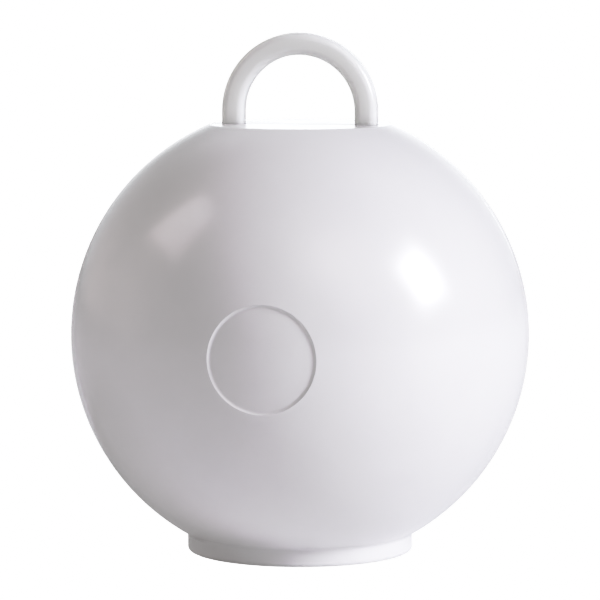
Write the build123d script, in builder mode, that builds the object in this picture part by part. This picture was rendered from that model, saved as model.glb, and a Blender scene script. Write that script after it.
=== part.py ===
"""Balloon weight: a plastic ball filled with sand, on a round foot, with a loop on its crown for ribbons.

Millimetres, +Z up, with the origin under the middle of the foot. The loop and the seam between the two
half balls lie in the XZ plane, and the round panel faces -Y.
"""

import os
from math import sqrt

from build123d import *

os.makedirs("parts", exist_ok=True)

# Ball, moulded as two halves
ball_diameter = 50.0
shell_wall = 1.8
crown_flat_diameter = 19.7
crown_edge_round = 0.5
crown_wall = 2.0
floor_wall = 2.0

# Round panel sunk into the front
panel_diameter = 11.5
panel_depth = 0.2
panel_slope_width = 0.26
panel_edge_round = 0.3

# Lap joint along the seam
lap_wall = 0.8
lap_height = 1.2
lap_end_gap = 2.0
lap_clearance = 0.05
seam_bevel = 0.1

# Loop for the ribbons
loop_bar_width = 2.4
loop_bar_depth = 2.5
loop_bar_round = 0.72
loop_opening_width = 12.2
loop_leg_rise = 1.45
loop_head_diameter = 4.8
loop_head_height = 1.4

# Sockets under the crown that hold the loop's heads
socket_wall = 1.2
socket_clearance = 0.1

# Foot, moulded with the ball, and the neck of the filling hole inside it
foot_diameter = 24.6
foot_height = 1.95
foot_edge_round = 0.4
foot_crease_round = 0.4
foot_rim_width = 2.6
neck_bore_diameter = 16.0
neck_wall = 1.6
neck_height = 5.0

# Plug that closes the filling hole, set up inside the foot's rim
flange_height = 1.3
flange_setback = 0.3
flange_edge_round = 0.3
plug_wall = 1.4
plug_clearance = 0.1
bead_reach = 0.35
bead_height = 1.2

# Sand
sand_headroom = 10.0
sand_gap = 0.2

# Length by which a cut runs past the face it opens
overrun = 1.0

# Sizes and heights that follow from these
ball_radius = ball_diameter / 2
crown_flat_radius = crown_flat_diameter / 2
foot_radius = foot_diameter / 2
neck_bore_radius = neck_bore_diameter / 2
neck_outer_radius = neck_bore_radius + neck_wall
cavity_radius = ball_radius - shell_wall

ball_centre_z = foot_height + sqrt(ball_radius**2 - foot_radius**2)
crown_z = ball_centre_z + sqrt(ball_radius**2 - crown_flat_radius**2)
flange_seat_z = flange_setback + flange_height
cavity_floor_z = flange_seat_z + floor_wall
cavity_ceiling_z = crown_z - crown_wall
neck_top_z = flange_seat_z + neck_height

loop_leg_x = (loop_opening_width + loop_bar_width) / 2
loop_arch_z = crown_z + loop_leg_rise
head_radius = loop_head_diameter / 2
head_top_z = cavity_ceiling_z - socket_clearance
head_bottom_z = head_top_z - loop_head_height
pocket_radius = head_radius + socket_clearance
pocket_bottom_z = head_bottom_z - socket_clearance
socket_radius = pocket_radius + socket_wall
socket_bottom_z = pocket_bottom_z - socket_wall
leg_places = [(-loop_leg_x, 0), (loop_leg_x, 0)]

recess_radius = foot_radius - foot_rim_width
flange_radius = recess_radius - plug_clearance
plug_radius = neck_bore_radius - plug_clearance
plug_inner_radius = plug_radius - plug_wall
bead_bottom_z = neck_top_z + plug_clearance
plug_top_z = bead_bottom_z + bead_height
from_axis_up = (Align.MIN, Align.MIN)


def cavity_section(inset):
    """Section of the space inside the ball, from its axis outwards, drawn this far inside the walls."""
    with BuildSketch() as section:
        with Locations((0, ball_centre_z)):
            Circle(cavity_radius - inset)
        with Locations((0, cavity_floor_z + inset)):
            Rectangle(
                ball_radius,
                cavity_ceiling_z - cavity_floor_z - inset - inset,
                align=from_axis_up,
                mode=Mode.INTERSECT,
            )
    return section.sketch


def groove_section(surface):
    """V across the seam, this far out along X, as deep as the bevel and running past the surface."""
    reach = seam_bevel + overrun
    with BuildSketch() as section:
        with BuildLine():
            Polyline(
                (surface - seam_bevel, 0),
                (surface + overrun, reach),
                (surface + overrun, -reach),
                close=True,
            )
        make_face()
    return section.sketch


def half_ball(side):
    """Half of the hollow ball on one side of the seam, with half of the foot, neck and sockets."""
    with BuildPart() as half:
        # Wall, flat crown, foot, floor and neck in one turned section
        with BuildSketch(Plane.XZ) as wall:
            with Locations((0, ball_centre_z)):
                Circle(ball_radius)
            with Locations((0, foot_height)):
                Rectangle(ball_radius, crown_z - foot_height, align=from_axis_up, mode=Mode.INTERSECT)
            crown_edge = wall.vertices().group_by(Axis.Y)[-1].sort_by(Axis.X)[-1]
            fillet(crown_edge, crown_edge_round)
            Rectangle(foot_radius, foot_height, align=from_axis_up)
            fillet(wall.vertices().sort_by_distance((foot_radius, foot_height))[0], foot_crease_round)
            fillet(wall.vertices().sort_by_distance((foot_radius, 0))[0], foot_edge_round)
            add(cavity_section(0), mode=Mode.SUBTRACT)
            Rectangle(recess_radius, flange_seat_z, align=from_axis_up, mode=Mode.SUBTRACT)
            with Locations((0, flange_seat_z)):
                Rectangle(neck_outer_radius, neck_height, align=from_axis_up)
                Rectangle(neck_bore_radius, neck_height, align=from_axis_up, mode=Mode.SUBTRACT)
        revolve(axis=Axis.Z)

        # Sockets: round bosses under the crown, each with a pocket for a head and a hole for its leg
        with BuildSketch(Plane.XY.offset(socket_bottom_z)):
            with Locations(*leg_places):
                Circle(socket_radius)
        extrude(amount=cavity_ceiling_z - socket_bottom_z)
        with BuildSketch(Plane.XY.offset(pocket_bottom_z)):
            with Locations(*leg_places):
                Circle(pocket_radius)
        extrude(amount=cavity_ceiling_z - pocket_bottom_z, mode=Mode.SUBTRACT)
        with BuildSketch(Plane.XY.offset(head_top_z)):
            with Locations(*leg_places):
                RectangleRounded(
                    loop_bar_width + socket_clearance + socket_clearance,
                    loop_bar_depth + socket_clearance + socket_clearance,
                    loop_bar_round + socket_clearance,
                )
        extrude(amount=crown_z + overrun - head_top_z, mode=Mode.SUBTRACT)

        # Fine groove where the halves meet, round the ball, across its crown, down the foot and under it
        with BuildPart(mode=Mode.PRIVATE) as ball_groove:
            with BuildSketch(Plane.XY.offset(ball_centre_z)):
                add(groove_section(ball_radius))
            revolve(axis=Axis((0, 0, ball_centre_z), (0, 1, 0)))
            split(bisect_by=Plane.XY.offset(foot_height + foot_crease_round), keep=Keep.TOP)
        add(ball_groove, mode=Mode.SUBTRACT)
        with BuildSketch(Plane.ZY):
            add(groove_section(crown_z))
        extrude(amount=crown_flat_radius, both=True, mode=Mode.SUBTRACT)
        with BuildSketch(Plane.XY.offset(-overrun)):
            add(groove_section(foot_radius))
            mirror(about=Plane.YZ)
        extrude(amount=overrun + foot_height - foot_crease_round, mode=Mode.SUBTRACT)
        with BuildSketch(Plane((0, 0, 0), x_dir=(0, 0, -1), z_dir=(1, 0, 0))):
            add(groove_section(0))
        extrude(amount=foot_radius, both=True, mode=Mode.SUBTRACT)

        split(bisect_by=Plane.XZ, keep=side)
    return half.part


def lap_ring(inner_radius, outer_radius, end_gap):
    """Ring in the seam plane, inside the wall, broken below the sockets and above the floor."""
    with BuildSketch(Plane.XZ) as ring:
        with Locations((0, ball_centre_z)):
            Circle(outer_radius)
            Circle(inner_radius, mode=Mode.SUBTRACT)
        with Locations((0, cavity_floor_z + end_gap)):
            Rectangle(
                ball_diameter,
                socket_bottom_z - cavity_floor_z - end_gap - end_gap,
                align=(Align.CENTER, Align.MIN),
                mode=Mode.INTERSECT,
            )
    return ring.sketch


# Front half: the rebate for the rear half's lip, and the panel, whose floor follows the ball
with BuildPart() as front_shell:
    add(half_ball(Keep.TOP))
    rebate_radius = cavity_radius + lap_wall + lap_clearance
    rebate = lap_ring(cavity_radius - overrun, rebate_radius, lap_end_gap - lap_clearance)
    extrude(rebate, amount=lap_height + lap_clearance, mode=Mode.SUBTRACT)
    panel_radius = panel_diameter / 2
    panel_floor_radius = panel_radius - panel_slope_width
    floor_ball_radius = ball_radius - panel_depth
    mouth = Vector(panel_radius, -sqrt(ball_radius**2 - panel_radius**2))
    foot_of_slope = Vector(panel_floor_radius, -sqrt(floor_ball_radius**2 - panel_floor_radius**2))
    slope = mouth - foot_of_slope
    inside = foot_of_slope - slope
    outside = mouth + slope * (overrun / panel_depth)
    with BuildPart(mode=Mode.PRIVATE) as panel:
        with BuildSketch(Plane.XY.offset(ball_centre_z)):
            with BuildLine():
                Polyline((0, inside.Y), inside, outside, (0, -ball_radius - overrun), close=True)
            make_face()
        revolve(axis=Axis((0, 0, ball_centre_z), (0, 1, 0)))
        with Locations((0, 0, ball_centre_z)):
            Sphere(floor_ball_radius, mode=Mode.SUBTRACT)
    add(panel, mode=Mode.SUBTRACT)
    round_edges = front_shell.edges().filter_by(GeomType.CIRCLE)
    mouth_edge = round_edges.sort_by_distance((mouth.X, mouth.Y, ball_centre_z))[0]
    floor_edge = round_edges.sort_by_distance((foot_of_slope.X, foot_of_slope.Y, ball_centre_z))[0]
    fillet([mouth_edge, floor_edge], panel_edge_round)

# Rear half, with the lip that the front half's rebate takes
with BuildPart() as rear_shell:
    add(half_ball(Keep.BOTTOM))
    lip = lap_ring(cavity_radius, cavity_radius + lap_wall, lap_end_gap)
    extrude(lip, amount=lap_height)

# Loop: one bar swept over the arch, with a round head on each leg
with BuildPart() as ribbon_loop:
    with BuildLine(Plane.XZ) as centreline:
        left_leg = Line((-loop_leg_x, head_bottom_z), (-loop_leg_x, loop_arch_z))
        arch = CenterArc((0, loop_arch_z), loop_leg_x, 180, -180)
        right_leg = Line((loop_leg_x, loop_arch_z), (loop_leg_x, head_bottom_z))
    with BuildSketch(Plane((-loop_leg_x, 0, head_bottom_z))):
        RectangleRounded(loop_bar_width, loop_bar_depth, loop_bar_round)
    sweep(path=centreline.line)
    with BuildSketch(Plane.XY.offset(head_bottom_z)):
        with Locations(*leg_places):
            Circle(head_radius)
    extrude(amount=loop_head_height)

# Sand: the space inside the ball up to its level, round the neck and down into the hollow of the plug
with BuildPart() as sand_ballast:
    sand_top_z = cavity_ceiling_z - sand_headroom
    plug_cover_z = plug_top_z + sand_gap
    hollow_bottom_z = flange_seat_z + sand_gap
    with BuildSketch(Plane.XZ):
        add(cavity_section(sand_gap))
        with Locations((0, sand_top_z)):
            Rectangle(ball_radius, ball_radius, align=from_axis_up, mode=Mode.SUBTRACT)
        Rectangle(neck_outer_radius + sand_gap, plug_cover_z, align=from_axis_up, mode=Mode.SUBTRACT)
        with Locations((0, hollow_bottom_z)):
            Rectangle(plug_inner_radius - sand_gap, plug_cover_z - hollow_bottom_z, align=from_axis_up)
    revolve(axis=Axis.Z)

# Plug: a flange inside the foot's rim, and a hollow spigot with a bead that snaps over the neck
with BuildPart() as base_plug:
    with BuildSketch(Plane.XZ) as plug:
        with Locations((0, flange_setback)):
            Rectangle(flange_radius, flange_height, align=from_axis_up)
        fillet(plug.vertices().sort_by_distance((flange_radius, flange_setback))[0], flange_edge_round)
        with Locations((plug_inner_radius, flange_seat_z)):
            Rectangle(plug_wall, plug_top_z - flange_seat_z, align=from_axis_up)
        with BuildLine():
            Polyline(
                (plug_inner_radius, bead_bottom_z),
                (neck_bore_radius + bead_reach, bead_bottom_z),
                (plug_radius, plug_top_z),
                (plug_inner_radius, plug_top_z),
                close=True,
            )
        make_face()
    revolve(axis=Axis.Z)

front_shell.part.label = "front_shell"
export_step(front_shell.part, "parts/front_shell.step")
rear_shell.part.label = "rear_shell"
export_step(rear_shell.part, "parts/rear_shell.step")
ribbon_loop.part.label = "ribbon_loop"
export_step(ribbon_loop.part, "parts/ribbon_loop.step")
sand_ballast.part.label = "sand_ballast"
export_step(sand_ballast.part, "parts/sand_ballast.step")
base_plug.part.label = "base_plug"
export_step(base_plug.part, "parts/base_plug.step")
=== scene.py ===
import math

import bpy
from mathutils import Euler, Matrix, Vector


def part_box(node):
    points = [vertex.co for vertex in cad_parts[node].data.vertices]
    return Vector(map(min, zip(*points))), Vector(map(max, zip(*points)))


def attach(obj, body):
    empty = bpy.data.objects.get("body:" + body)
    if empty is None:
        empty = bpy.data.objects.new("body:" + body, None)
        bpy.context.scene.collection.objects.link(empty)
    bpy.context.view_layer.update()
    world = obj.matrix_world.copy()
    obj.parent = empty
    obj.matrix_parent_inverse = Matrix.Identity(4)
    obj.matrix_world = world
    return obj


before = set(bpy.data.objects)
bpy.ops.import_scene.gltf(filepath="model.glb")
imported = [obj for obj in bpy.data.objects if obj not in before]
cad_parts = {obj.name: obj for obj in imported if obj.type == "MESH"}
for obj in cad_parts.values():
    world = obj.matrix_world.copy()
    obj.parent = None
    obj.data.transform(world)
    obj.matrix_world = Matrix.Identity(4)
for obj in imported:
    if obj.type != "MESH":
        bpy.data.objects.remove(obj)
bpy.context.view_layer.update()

# Half balls
# The body is a hollow ball with a flat crown and a low foot, moulded in white polypropylene as a front
# and a rear half and joined along a seam in the plane of the loop. The mould is polished, so the skin
# is glossy, faintly wavy like orange peel, a little translucent, and has a few tiny pimples.
POLYPROPYLENE_IOR = 1.49
CLOUD_SCALE = 90
CLOUD_DETAIL = 4
CLOUD_EDGES = (0.35, 0.65)
CLOUD_SHADE = 0.974
HAZE_SCALE = 260
HAZE_DETAIL = 6
HAZE_EDGES = (0.3, 0.7)
PEEL_SCALE = 420
PEEL_DETAIL = 2


def cloudy_pattern(material, scale, detail):
    """A soft irregular pattern that keeps its place on the piece."""
    nodes = material.node_tree.nodes
    links = material.node_tree.links
    place = nodes.new("ShaderNodeTexCoord")
    pattern = nodes.new("ShaderNodeTexNoise")
    pattern.inputs["Scale"].default_value = scale
    pattern.inputs["Detail"].default_value = detail
    links.new(place.outputs["Object"], pattern.inputs["Vector"])
    return pattern.outputs["Fac"]


def white_plastic(name, white, roughness, peel_height, translucency, light_reach):
    """Moulded white plastic: clouded colour, uneven gloss, orange peel and light let into the skin."""
    material = bpy.data.materials.new(name)
    material.use_nodes = True
    nodes = material.node_tree.nodes
    links = material.node_tree.links
    shader = nodes["Principled BSDF"]

    tint = nodes.new("ShaderNodeValToRGB")
    shaded, clear = tint.color_ramp.elements
    shaded.position, clear.position = CLOUD_EDGES
    shaded.color = (*(channel * CLOUD_SHADE for channel in white), 1)
    clear.color = (*white, 1)
    links.new(cloudy_pattern(material, CLOUD_SCALE, CLOUD_DETAIL), tint.inputs["Fac"])
    links.new(tint.outputs["Color"], shader.inputs["Base Color"])

    gloss = nodes.new("ShaderNodeMapRange")
    gloss.inputs["From Min"].default_value, gloss.inputs["From Max"].default_value = HAZE_EDGES
    gloss.inputs["To Min"].default_value, gloss.inputs["To Max"].default_value = roughness
    links.new(cloudy_pattern(material, HAZE_SCALE, HAZE_DETAIL), gloss.inputs["Value"])
    links.new(gloss.outputs["Result"], shader.inputs["Roughness"])

    peel_bump = nodes.new("ShaderNodeBump")
    peel_bump.name = "peel_bump"
    peel_bump.inputs["Distance"].default_value = peel_height
    links.new(cloudy_pattern(material, PEEL_SCALE, PEEL_DETAIL), peel_bump.inputs["Height"])
    links.new(peel_bump.outputs["Normal"], shader.inputs["Normal"])

    shader.inputs["IOR"].default_value = POLYPROPYLENE_IOR
    shader.inputs["Subsurface Weight"].default_value = translucency
    shader.inputs["Subsurface Radius"].default_value = (1, 1, 1)
    shader.inputs["Subsurface Scale"].default_value = light_reach
    return material


def raise_on_skin(material, height_socket, height):
    """Adds one more raised feature on top of the orange peel."""
    nodes = material.node_tree.nodes
    links = material.node_tree.links
    bump = nodes.new("ShaderNodeBump")
    bump.inputs["Distance"].default_value = height
    links.new(height_socket, bump.inputs["Height"])
    links.new(nodes["peel_bump"].outputs["Normal"], bump.inputs["Normal"])
    links.new(bump.outputs["Normal"], nodes["Principled BSDF"].inputs["Normal"])


def dress(node, material):
    """Gives a CAD node its finish."""
    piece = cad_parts[node]
    piece.data.materials.clear()
    piece.data.materials.append(material)


BALL_WHITE = (0.806, 0.796, 0.785)
BALL_ROUGHNESS = (0.17, 0.22)
BALL_PEEL_HEIGHT = 0.000005
WALL_TRANSLUCENCY = 0.25
WALL_LIGHT_REACH = 0.0012
PIMPLE_CELLS_PER_METRE = 250
PIMPLE_EDGE_SHARE = 0.04
PIMPLE_TOP_SHARE = 0.01
PIMPLE_HEIGHT = 0.00001
ball_skin = white_plastic(
    "polished_ball_skin", BALL_WHITE, BALL_ROUGHNESS, BALL_PEEL_HEIGHT, WALL_TRANSLUCENCY, WALL_LIGHT_REACH
)
ball_nodes = ball_skin.node_tree.nodes
ball_links = ball_skin.node_tree.links
ball_place = ball_nodes.new("ShaderNodeTexCoord")
pimples = ball_nodes.new("ShaderNodeTexVoronoi")
pimples.inputs["Scale"].default_value = PIMPLE_CELLS_PER_METRE
ball_links.new(ball_place.outputs["Object"], pimples.inputs["Vector"])
pimple_shape = ball_nodes.new("ShaderNodeMapRange")
pimple_shape.interpolation_type = "SMOOTHSTEP"
pimple_shape.inputs["From Min"].default_value = PIMPLE_EDGE_SHARE
pimple_shape.inputs["From Max"].default_value = PIMPLE_TOP_SHARE
ball_links.new(pimples.outputs["Distance"], pimple_shape.inputs["Value"])
raise_on_skin(ball_skin, pimple_shape.outputs["Result"], PIMPLE_HEIGHT)
dress("rear_shell", ball_skin)
dress("front_shell", ball_skin)

# Ribbon loop
# The loop is one bar of white polypropylene, moulded as an arch, with its two legs held by heads in sockets
# under the crown. It is thin, so light passes deep into it. Its mould opens to the front and the back, which
# leaves a hair-thin parting line half way through its depth.
LOOP_WHITE = (0.808, 0.81, 0.784)
LOOP_ROUGHNESS = (0.17, 0.22)
LOOP_PEEL_HEIGHT = 0.000004
LOOP_TRANSLUCENCY = 0.9
LOOP_LIGHT_REACH = 0.0022
PARTING_LINE_HALF_WIDTH = 0.00006
PARTING_LINE_HEIGHT = 0.00002
loop_skin = white_plastic(
    "polished_loop_skin", LOOP_WHITE, LOOP_ROUGHNESS, LOOP_PEEL_HEIGHT, LOOP_TRANSLUCENCY, LOOP_LIGHT_REACH
)
loop_nodes = loop_skin.node_tree.nodes
loop_links = loop_skin.node_tree.links
loop_place = loop_nodes.new("ShaderNodeTexCoord")
loop_axes = loop_nodes.new("ShaderNodeSeparateXYZ")
loop_links.new(loop_place.outputs["Object"], loop_axes.inputs["Vector"])
off_parting = loop_nodes.new("ShaderNodeMath")
off_parting.operation = "ABSOLUTE"
loop_links.new(loop_axes.outputs["Y"], off_parting.inputs[0])
parting_line = loop_nodes.new("ShaderNodeMapRange")
parting_line.interpolation_type = "SMOOTHSTEP"
parting_line.inputs["From Min"].default_value = PARTING_LINE_HALF_WIDTH
parting_line.inputs["From Max"].default_value = 0
loop_links.new(off_parting.outputs["Value"], parting_line.inputs["Value"])
raise_on_skin(loop_skin, parting_line.outputs["Result"], PARTING_LINE_HEIGHT)
dress("ribbon_loop", loop_skin)

# Sand ballast
# Dry washed sand fills the ball to below the crown and gives the weight most of its mass. It is poured in
# through the neck in the foot, and nothing of it shows from outside once the plug is in.
SAND_GRAIN_SCALE = 2600
SAND_GRAIN_HEIGHT = 0.00015
SAND_ROUGHNESS = 0.9
DARK_GRAIN = (0.36, 0.25, 0.14, 1)
MIDDLE_GRAIN = (0.62, 0.49, 0.32, 1)
MIDDLE_GRAIN_SHARE = 0.45
PALE_GRAIN = (0.82, 0.74, 0.60, 1)
sand_grain = bpy.data.materials.new("dry_washed_sand")
sand_grain.use_nodes = True
sand_nodes = sand_grain.node_tree.nodes
sand_links = sand_grain.node_tree.links
sand_shader = sand_nodes["Principled BSDF"]
sand_place = sand_nodes.new("ShaderNodeTexCoord")
grains = sand_nodes.new("ShaderNodeTexVoronoi")
grains.inputs["Scale"].default_value = SAND_GRAIN_SCALE
sand_links.new(sand_place.outputs["Object"], grains.inputs["Vector"])
grain_pick = sand_nodes.new("ShaderNodeSeparateColor")
sand_links.new(grains.outputs["Color"], grain_pick.inputs["Color"])
grain_colour = sand_nodes.new("ShaderNodeValToRGB")
grain_colour.color_ramp.elements[0].color = DARK_GRAIN
grain_colour.color_ramp.elements[1].color = PALE_GRAIN
grain_colour.color_ramp.elements.new(MIDDLE_GRAIN_SHARE).color = MIDDLE_GRAIN
sand_links.new(grain_pick.outputs["Red"], grain_colour.inputs["Fac"])
sand_links.new(grain_colour.outputs["Color"], sand_shader.inputs["Base Color"])
grain_bump = sand_nodes.new("ShaderNodeBump")
grain_bump.invert = True
grain_bump.inputs["Distance"].default_value = SAND_GRAIN_HEIGHT
sand_links.new(grains.outputs["Distance"], grain_bump.inputs["Height"])
sand_links.new(grain_bump.outputs["Normal"], sand_shader.inputs["Normal"])
sand_shader.inputs["Roughness"].default_value = SAND_ROUGHNESS
dress("sand_ballast", sand_grain)

# Base plug
# The plug closes the filling hole from below. It is moulded in the same polypropylene, with a satin
# underside from the unpolished end of its mould, and snaps into the neck by a bead on its spigot.
PLUG_ROUGHNESS = (0.30, 0.42)
PLUG_PEEL_HEIGHT = 0.00001
plug_skin = white_plastic(
    "satin_plug_skin", BALL_WHITE, PLUG_ROUGHNESS, PLUG_PEEL_HEIGHT, WALL_TRANSLUCENCY, WALL_LIGHT_REACH
)
dress("base_plug", plug_skin)

# Gate mark
# The plug is filled with plastic through a gate in the middle of its underside. Where the gate's runner
# is twisted off, a small stub with a torn hollow end is left, and the foot's rim keeps it off the table.
GATE_RADIUS = 0.0008
GATE_HEIGHT = 0.00018
GATE_SIDES = 32
GATE_TEAR_WIDTH = 0.00025
GATE_TEAR_DEPTH = 0.00008
GATE_EDGE_ROUND = 0.00005
GATE_ROUND_STEPS = 3
GATE_SMOOTH_ANGLE = math.radians(40)
FACING_DOWN = -0.9
plug_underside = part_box("base_plug")[0].z
bpy.ops.object.select_all(action="DESELECT")
bpy.ops.mesh.primitive_cylinder_add(
    vertices=GATE_SIDES,
    radius=GATE_RADIUS,
    depth=GATE_HEIGHT,
    location=(0, 0, plug_underside - GATE_HEIGHT / 2),
)
gate_mark = bpy.context.object
gate_mark.name = "gate_mark"
bpy.ops.object.transform_apply(location=True, rotation=True, scale=True)
bpy.ops.object.mode_set(mode="EDIT")
bpy.ops.mesh.select_all(action="DESELECT")
bpy.ops.object.mode_set(mode="OBJECT")
for face in gate_mark.data.polygons:
    face.select = face.normal.z < FACING_DOWN
bpy.ops.object.mode_set(mode="EDIT")
bpy.ops.mesh.inset(thickness=GATE_TEAR_WIDTH)
bpy.ops.mesh.inset(thickness=GATE_TEAR_WIDTH, depth=-GATE_TEAR_DEPTH)
bpy.ops.object.mode_set(mode="OBJECT")
gate_round = gate_mark.modifiers.new("edge_round", "BEVEL")
gate_round.width = GATE_EDGE_ROUND
gate_round.segments = GATE_ROUND_STEPS
gate_round.limit_method = "ANGLE"
bpy.ops.object.modifier_apply(modifier=gate_round.name)
bpy.ops.object.shade_smooth_by_angle(angle=GATE_SMOOTH_ANGLE)
gate_mark.data.materials.append(plug_skin)
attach(gate_mark, "root")

# Table
# The object stands on a plain white table, which throws soft light back up at it and takes its shadow. The
# camera doesn't see the table, and sees the even white floor just below it instead.
TABLE_RADIUS = 4.0
TABLE_SIDES = 64
TABLE_GAP = 0.0001
TABLE_WHITE = (0.92, 0.92, 0.92, 1)
TABLE_ROUGHNESS = 0.6
TABLE_SHINE = 0.2
bpy.ops.object.select_all(action="DESELECT")
bpy.ops.mesh.primitive_circle_add(
    vertices=TABLE_SIDES, radius=TABLE_RADIUS, fill_type="NGON", location=(0, 0, -TABLE_GAP)
)
table = bpy.context.object
table.name = "studio_table"
bpy.ops.object.transform_apply(location=True, rotation=True, scale=True)
table_paint = bpy.data.materials.new("white_table")
table_paint.use_nodes = True
table_shader = table_paint.node_tree.nodes["Principled BSDF"]
table_shader.inputs["Base Color"].default_value = TABLE_WHITE
table_shader.inputs["Roughness"].default_value = TABLE_ROUGHNESS
table_shader.inputs["Specular IOR Level"].default_value = TABLE_SHINE
table.data.materials.append(table_paint)
table.visible_camera = False

# Floor
# A white floor with a white wall and ceiling far off, as one drum around the object. Only the camera sees it,
# and it glows just as brightly as the contrast curve below shows as full white, so it is even all over.
FLOOR_DROP = 0.0002
ROOM_RADIUS = 1.5
ROOM_HEIGHT = 3.0
ROOM_SIDES = 96
TONE_WHITE = 1.3
bpy.ops.object.select_all(action="DESELECT")
bpy.ops.mesh.primitive_cylinder_add(
    vertices=ROOM_SIDES, radius=ROOM_RADIUS, depth=ROOM_HEIGHT, location=(0, 0, ROOM_HEIGHT / 2 - FLOOR_DROP)
)
floor = bpy.context.object
floor.name = "studio_floor"
bpy.ops.object.transform_apply(location=True, rotation=True, scale=True)
floor_paint = bpy.data.materials.new("white_floor")
floor_paint.use_nodes = True
floor_shader = floor_paint.node_tree.nodes["Principled BSDF"]
floor_shader.inputs["Base Color"].default_value = (0, 0, 0, 1)
floor_shader.inputs["Specular IOR Level"].default_value = 0
floor_shader.inputs["Emission Color"].default_value = (1, 1, 1, 1)
floor_shader.inputs["Emission Strength"].default_value = TONE_WHITE
floor.data.materials.append(floor_paint)
floor.visible_diffuse = False
floor.visible_glossy = False
floor.visible_transmission = False
floor.visible_volume_scatter = False
floor.visible_shadow = False

# Studio light
# The object stands in a white tent. A lamp on the right, bright in its middle and dimmer around it, makes
# the strong highlight, and a leaning lamp high on the left makes the faint one. The tent's walls glow
# unevenly: most in front on the right and behind, warm in front and on the left, and cool behind.
BALL_MIDDLE = Vector((0, 0, 0.0237))
KEY_COLOUR = (0.885, 0.895, 1.0)
KEY_ROLL = 17
FILL_COLOUR = (0.98, 0.95, 1.0)
FILL_LEAN = 57


def way_to(degrees_round, degrees_up):
    """The way out from the object, in degrees round from straight behind towards the left, and up."""
    turn = Euler((math.radians(degrees_up), 0, math.radians(degrees_round)))
    return turn.to_matrix() @ Vector((0, 1, 0))


def softbox(name, way, width, height, watts, colour, lean=0, roll=0):
    """A rectangular studio lamp one metre from the object, leaned and rolled in degrees from facing it."""
    lamp = bpy.data.lights.new(name, "AREA")
    lamp.shape = "RECTANGLE"
    lamp.size = width
    lamp.size_y = height
    lamp.energy = watts
    lamp.color = colour
    lamp_object = bpy.data.objects.new(name, lamp)
    bpy.context.scene.collection.objects.link(lamp_object)
    lamp_object.location = BALL_MIDDLE + way
    facing = way.to_track_quat("Z", "Y")
    turned = Euler((math.radians(lean), 0, math.radians(roll))).to_quaternion()
    lamp_object.rotation_euler = (facing @ turned).to_euler()
    lamp_object.visible_camera = False


key_way = way_to(degrees_round=-100.6, degrees_up=25.9)
fill_way = way_to(degrees_round=99.1, degrees_up=46.7)
softbox("key_middle", key_way, width=0.25, height=0.33, watts=7.15, colour=KEY_COLOUR, roll=KEY_ROLL)
softbox("key_surround", key_way, width=0.42, height=0.5, watts=2.9, colour=KEY_COLOUR, roll=KEY_ROLL)
softbox("fill_softbox", fill_way, width=0.37, height=0.7, watts=1.85, colour=FILL_COLOUR, lean=FILL_LEAN)

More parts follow.
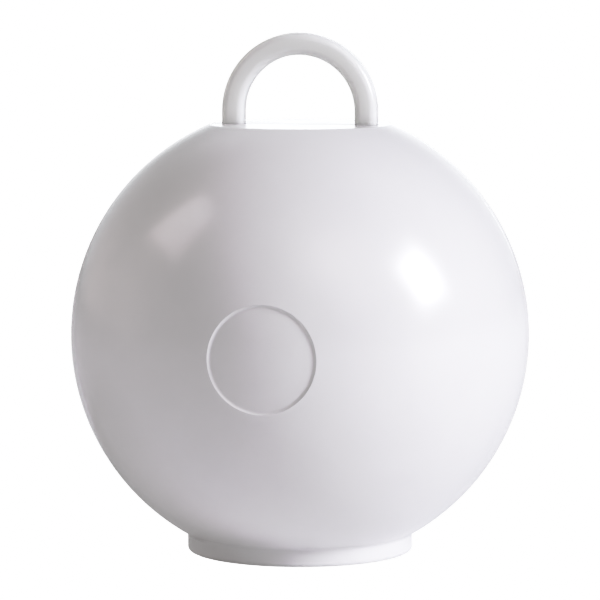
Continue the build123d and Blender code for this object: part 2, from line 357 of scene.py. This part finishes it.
TENT_WARM = Vector((1.04, 0.985, 0.965))
TENT_COOL = Vector((0.965, 1.0, 1.035))
TENT_GLOWS = (
    # degrees round from straight behind towards the left, degrees up, tightness, light
    (-150, 42, 20, 2.05 * TENT_WARM),
    (180, 8, 20, 0.45 * TENT_WARM),
    (90, 42, 20, 0.80 * TENT_WARM),
    (90, 8, 20, 0.75 * TENT_WARM),
    (60, 8, 20, 0.70 * TENT_WARM),
    (30, 42, 20, 0.80 * TENT_COOL),
    (30, 8, 20, 0.55 * TENT_COOL),
    (0, 8, 20, 1.20 * TENT_COOL),
    (9.4, 4, 90, 1.15 * TENT_COOL),
)
tent = bpy.data.worlds.new("light_tent")
bpy.context.scene.world = tent
tent.use_nodes = True
tent_nodes = tent.node_tree.nodes
tent_links = tent.node_tree.links
tent_place = tent_nodes.new("ShaderNodeTexCoord")
light_so_far = None
for glow_round, glow_up, glow_tightness, glow_light in TENT_GLOWS:
    nearness = tent_nodes.new("ShaderNodeVectorMath")
    nearness.operation = "DOT_PRODUCT"
    nearness.inputs[1].default_value = way_to(glow_round, glow_up)
    tent_links.new(tent_place.outputs["Generated"], nearness.inputs[0])
    lit_side = tent_nodes.new("ShaderNodeMath")
    lit_side.operation = "MAXIMUM"
    lit_side.inputs[1].default_value = 0
    tent_links.new(nearness.outputs["Value"], lit_side.inputs[0])
    fall_off = tent_nodes.new("ShaderNodeMath")
    fall_off.operation = "POWER"
    fall_off.inputs[1].default_value = glow_tightness
    tent_links.new(lit_side.outputs["Value"], fall_off.inputs[0])
    glow = tent_nodes.new("ShaderNodeVectorMath")
    glow.operation = "MULTIPLY_ADD"
    glow.inputs[1].default_value = glow_light
    glow.inputs[2].default_value = (0, 0, 0)
    tent_links.new(fall_off.outputs["Value"], glow.inputs[0])
    if light_so_far is not None:
        tent_links.new(light_so_far, glow.inputs[2])
    light_so_far = glow.outputs["Vector"]
tent_links.new(light_so_far, tent_nodes["Background"].inputs["Color"])

# Camera
# A long lens, a little to the right of the panel and a little above the object, as in the photo. It aims
# at about half of the object's height.
CAMERA_AIM = Vector((0, 0, 0.02746))
CAMERA_RIGHT_OF_FRONT = 9.41
CAMERA_UP = 5.95
CAMERA_DISTANCE = 0.4162
SENSOR_WIDTH = 36
LENS_LENGTH = 228.5
NEAREST_SEEN = 0.01
FARTHEST_SEEN = 50
camera_data = bpy.data.cameras.new("photo_camera")
camera_data.sensor_width = SENSOR_WIDTH
camera_data.lens = LENS_LENGTH
camera_data.clip_start = NEAREST_SEEN
camera_data.clip_end = FARTHEST_SEEN
camera = bpy.data.objects.new("photo_camera", camera_data)
bpy.context.scene.collection.objects.link(camera)
camera_way = way_to(180 + CAMERA_RIGHT_OF_FRONT, CAMERA_UP)
camera.location = CAMERA_AIM + camera_way * CAMERA_DISTANCE
camera.rotation_euler = camera_way.to_track_quat("Z", "Y").to_euler()
bpy.context.scene.camera = camera

# Contrast
# The photo's own contrast, as one curve over the light: its middle tones are lifted and its highlights
# roll off softly to white.
COMBINED_CURVE = 3
TONE_POINTS = (
    # light that comes in, light that is shown
    (0.25, 0.26),
    (0.4, 0.395),
    (0.55, 0.6),
    (0.7, 0.74),
    (0.85, 0.845),
    (1.0, 0.915),
)
view = bpy.context.scene.view_settings
view.view_transform = "Standard"
view.use_curve_mapping = True
view.curve_mapping.white_level = (TONE_WHITE, TONE_WHITE, TONE_WHITE)
for light_in, light_shown in TONE_POINTS:
    view.curve_mapping.curves[COMBINED_CURVE].points.new(light_in / TONE_WHITE, light_shown)
view.curve_mapping.update()
